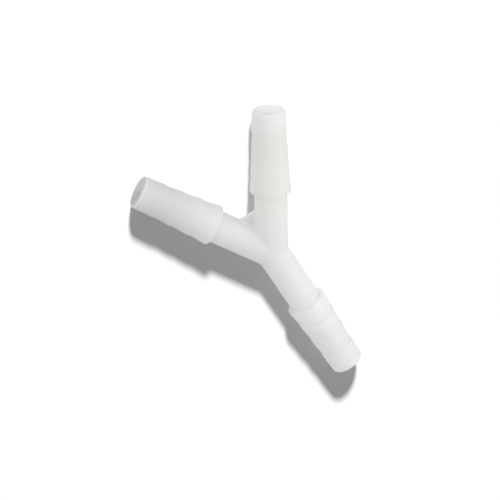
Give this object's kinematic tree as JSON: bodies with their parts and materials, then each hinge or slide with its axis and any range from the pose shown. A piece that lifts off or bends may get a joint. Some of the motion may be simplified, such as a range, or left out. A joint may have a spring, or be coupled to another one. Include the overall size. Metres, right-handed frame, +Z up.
{
  "type": "tubing y connector",
  "caption": "Y-shaped hose-barb connector that joins soft tubing, with equal barbed tails, rounded tips and a small web between the branches.",
  "frame": {"origin": "middle of the bounding box's underside, on the surface that the connector lies on", "axes": "+Y from the stem towards the branches, along the stem's axis; +Z up, square to the plane of the arms; +X towards the right branch"},
  "size_m": [0.0536, 0.0872, 0.0124],
  "materials": {
    "natural_polypropylene": "satin, milky and slightly translucent"
  },
  "bodies": {
    "root": {"y_connector_body": "natural_polypropylene"}
  },
  "joints": []
}
